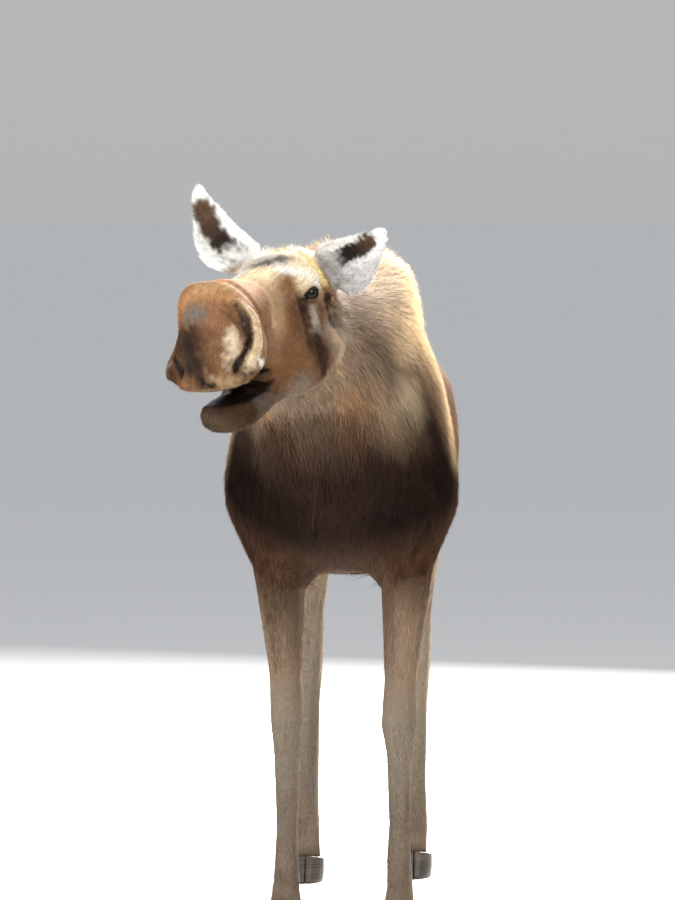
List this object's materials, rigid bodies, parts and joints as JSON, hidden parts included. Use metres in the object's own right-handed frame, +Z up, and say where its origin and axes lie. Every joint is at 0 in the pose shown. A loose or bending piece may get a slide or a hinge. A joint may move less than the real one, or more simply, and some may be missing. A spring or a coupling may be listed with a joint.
{
  "type": "moose",
  "caption": "Life-size cow moose standing on all fours with its head turned a little to one side, a still museum-style figure.",
  "frame": {"origin": "on the ground under the middle of the animal's box", "axes": "+Z up, the animal faces -Y, its left side is +X"},
  "size_m": [0.6714, 2.6036, 1.9523],
  "materials": {
    "coat_brown": "long coarse brown coat of neck and trunk",
    "coat_tan": "short tan coat of the head",
    "coat_pale": "short pale grey coat of ears, jaw and legs",
    "coat_dark": "dark brown hair of tail and throat bell",
    "horn": "dark worn hoof horn",
    "eye": "wet dark brown eye"
  },
  "bodies": {
    "root": {"head": "coat_tan", "lower_jaw": "coat_pale", "ear_left": "coat_pale", "ear_right": "coat_pale", "eye_left": "eye", "eye_right": "eye", "neck": "coat_brown", "trunk": "coat_brown", "bell": "coat_dark", "tail": "coat_dark", "leg_front_left": "coat_pale", "leg_front_right": "coat_pale", "leg_hind_left": "coat_pale", "leg_hind_right": "coat_pale", "claw_front_left_outer": "horn", "dewclaw_front_left_outer": "horn", "claw_front_left_inner": "horn", "dewclaw_front_left_inner": "horn", "claw_front_right_outer": "horn", "dewclaw_front_right_outer": "horn", "claw_front_right_inner": "horn", "dewclaw_front_right_inner": "horn", "claw_hind_left_outer": "horn", "dewclaw_hind_left_outer": "horn", "claw_hind_left_inner": "horn", "dewclaw_hind_left_inner": "horn", "claw_hind_right_outer": "horn", "dewclaw_hind_right_outer": "horn", "claw_hind_right_inner": "horn", "dewclaw_hind_right_inner": "horn"}
  },
  "joints": []
}
